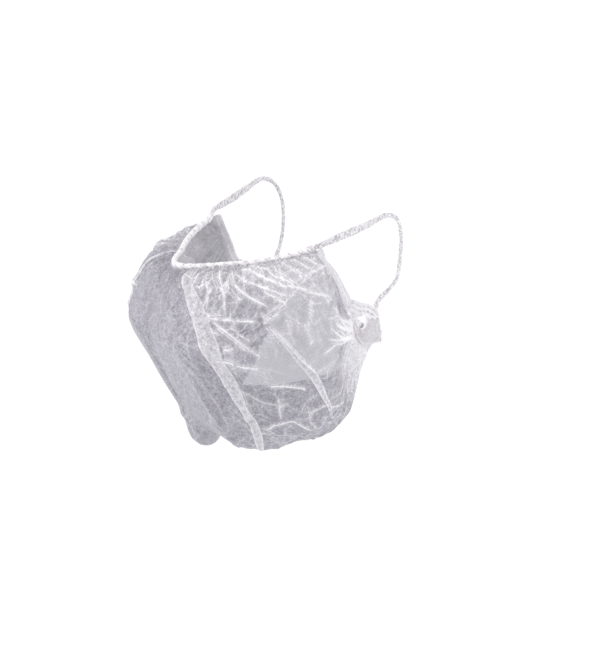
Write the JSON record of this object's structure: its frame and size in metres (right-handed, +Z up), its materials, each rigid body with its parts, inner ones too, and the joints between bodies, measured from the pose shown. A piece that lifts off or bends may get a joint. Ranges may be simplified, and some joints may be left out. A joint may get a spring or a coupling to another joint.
{
  "type": "disposable beard net",
  "caption": "Gathered nonwoven pouch that covers the jaw and chin, with elastic edges and a loop to hang over each ear.",
  "frame": {"origin": "halfway between the tops of the two ears, where the loops hang", "axes": "+Z up, the wearer faces -Y, and the wearer's left is +X"},
  "size_m": [0.1761, 0.1599, 0.1758],
  "materials": {
    "net_cloth": "thin see-through white spunbonded nonwoven",
    "hem_elastic": "nonwoven gathered over thin elastic",
    "gathered_cloth": "bunched white nonwoven in many layers",
    "loop_elastic": "covered elastic, gathered"
  },
  "bodies": {
    "root": {"net_pouch": "net_cloth", "upper_hem": "hem_elastic", "lower_hem": "hem_elastic", "rear_hem_left": "gathered_cloth", "rear_hem_right": "gathered_cloth", "corner_tab_left": "gathered_cloth", "corner_tab_right": "gathered_cloth", "ear_loop_left": "loop_elastic", "ear_loop_right": "loop_elastic"}
  },
  "joints": []
}
